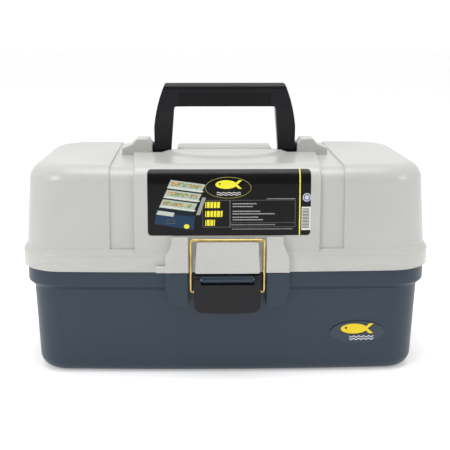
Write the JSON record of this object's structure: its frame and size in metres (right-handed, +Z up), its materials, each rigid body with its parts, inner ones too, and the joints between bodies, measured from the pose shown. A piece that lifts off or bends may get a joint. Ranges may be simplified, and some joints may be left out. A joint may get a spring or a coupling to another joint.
{
  "type": "fishing tackle box",
  "caption": "Hinged tackle box with a domed lid, folding carry handle, front bail latch and cantilever trays that lift and spread with the lid.",
  "frame": {"origin": "centre of the flat bottom of the tub", "axes": "+X along the length to the right seen from the front, -Y out of the front with the latch, +Z up"},
  "size_m": [0.463, 0.27, 0.3215],
  "materials": {
    "tub_plastic": "moulded slate blue-grey plastic with a fine texture",
    "lid_plastic": "moulded warm light grey plastic with a fine texture",
    "handle_plastic": "moulded near-black plastic",
    "lever_plastic": "moulded charcoal plastic",
    "bail_brass": "brass-plated steel wire",
    "pin_steel": "bright drawn steel",
    "rivet_steel": "zinc-plated steel",
    "arm_steel": "zinc-plated pressed steel strip",
    "tray_plastic": "moulded pale grey plastic",
    "seal_rubber": "black foam rubber cord",
    "label_film": "printed gloss film",
    "badge_plastic": "moulded badge, polished"
  },
  "bodies": {
    "base": {"base_tub": "tub_plastic", "seal_ring": "seal_rubber", "hinge_pins": "pin_steel", "latch_pin": "pin_steel", "base_arm_rivets": "rivet_steel", "base_badge": "badge_plastic"},
    "lid": {"lid_shell": "lid_plastic", "front_label": "label_film", "lid_link_rivets": "rivet_steel"},
    "handle": {"carry_handle": "handle_plastic"},
    "latch_lever": {"latch_lever": "lever_plastic"},
    "latch_bail": {"latch_bail": "bail_brass"},
    "front_arms": {"left_front_arm": "arm_steel", "right_front_arm": "arm_steel"},
    "rear_arms": {"left_rear_arm": "arm_steel", "right_rear_arm": "arm_steel", "link_arm_rivets": "rivet_steel"},
    "lid_links": {"left_lid_link": "arm_steel", "right_lid_link": "arm_steel"},
    "lower_tray": {"lower_tray": "tray_plastic", "lower_tray_dividers": "tray_plastic", "lower_tray_rivets": "rivet_steel"},
    "middle_tray": {"middle_tray": "tray_plastic", "middle_tray_dividers": "tray_plastic", "middle_tray_rivets": "rivet_steel"},
    "upper_tray": {"upper_tray": "tray_plastic", "upper_tray_dividers": "tray_plastic", "upper_tray_rivets": "rivet_steel"}
  },
  "joints": [
    {"name": "lid_hinge", "type": "hinge", "parent": "base", "child": "lid", "pos_m": [0, 0.1315, 0.122], "axis": [-1, 0, 0], "range_deg": [0, 95]},
    {"name": "front_arm_lift", "type": "hinge", "parent": "base", "child": "front_arms", "pos_m": [0, 0.015, 0.108], "axis": [-1, 0, 0], "range_deg": [0, 95]},
    {"name": "rear_arm_lift", "type": "hinge", "parent": "base", "child": "rear_arms", "pos_m": [0, 0.039, 0.108], "axis": [-1, 0, 0], "range_deg": [0, 95]},
    {"name": "lid_link_swing", "type": "hinge", "parent": "lid", "child": "lid_links", "pos_m": [0, 0.07576, 0.17219], "axis": [-1, 0, 0], "range_deg": [-95, 0]},
    {"name": "lower_tray_level", "type": "hinge", "parent": "rear_arms", "child": "lower_tray", "pos_m": [0, 0.00705, 0.13677], "axis": [-1, 0, 0], "range_deg": [-95, 0]},
    {"name": "middle_tray_level", "type": "hinge", "parent": "rear_arms", "child": "middle_tray", "pos_m": [0, -0.02627, 0.16677], "axis": [-1, 0, 0], "range_deg": [-95, 0]},
    {"name": "upper_tray_level", "type": "hinge", "parent": "rear_arms", "child": "upper_tray", "pos_m": [0, -0.05959, 0.19677], "axis": [-1, 0, 0], "range_deg": [-95, 0]},
    {"name": "handle_fold", "type": "hinge", "parent": "lid", "child": "handle", "pos_m": [0, 0, 0.245], "axis": [-1, 0, 0], "range_deg": [0, 88]},
    {"name": "latch_lever_swing", "type": "hinge", "parent": "base", "child": "latch_lever", "pos_m": [0, -0.1275, 0.1172], "axis": [-1, 0, 0], "range_deg": [0, 90]},
    {"name": "bail_swing", "type": "hinge", "parent": "latch_lever", "child": "latch_bail", "pos_m": [0, -0.126, 0.1023], "axis": [1, 0, 0], "range_deg": [0, 123]}
  ],
  "couplings": [
    {"joint": "front_arm_lift", "follows": "lid_hinge", "ratio": 1},
    {"joint": "rear_arm_lift", "follows": "lid_hinge", "ratio": 1},
    {"joint": "lid_link_swing", "follows": "lid_hinge", "ratio": -1},
    {"joint": "lower_tray_level", "follows": "lid_hinge", "ratio": -1},
    {"joint": "middle_tray_level", "follows": "lid_hinge", "ratio": -1},
    {"joint": "upper_tray_level", "follows": "lid_hinge", "ratio": -1},
    {"joint": "bail_swing", "follows": "latch_lever_swing", "ratio": 1.36}
  ]
}
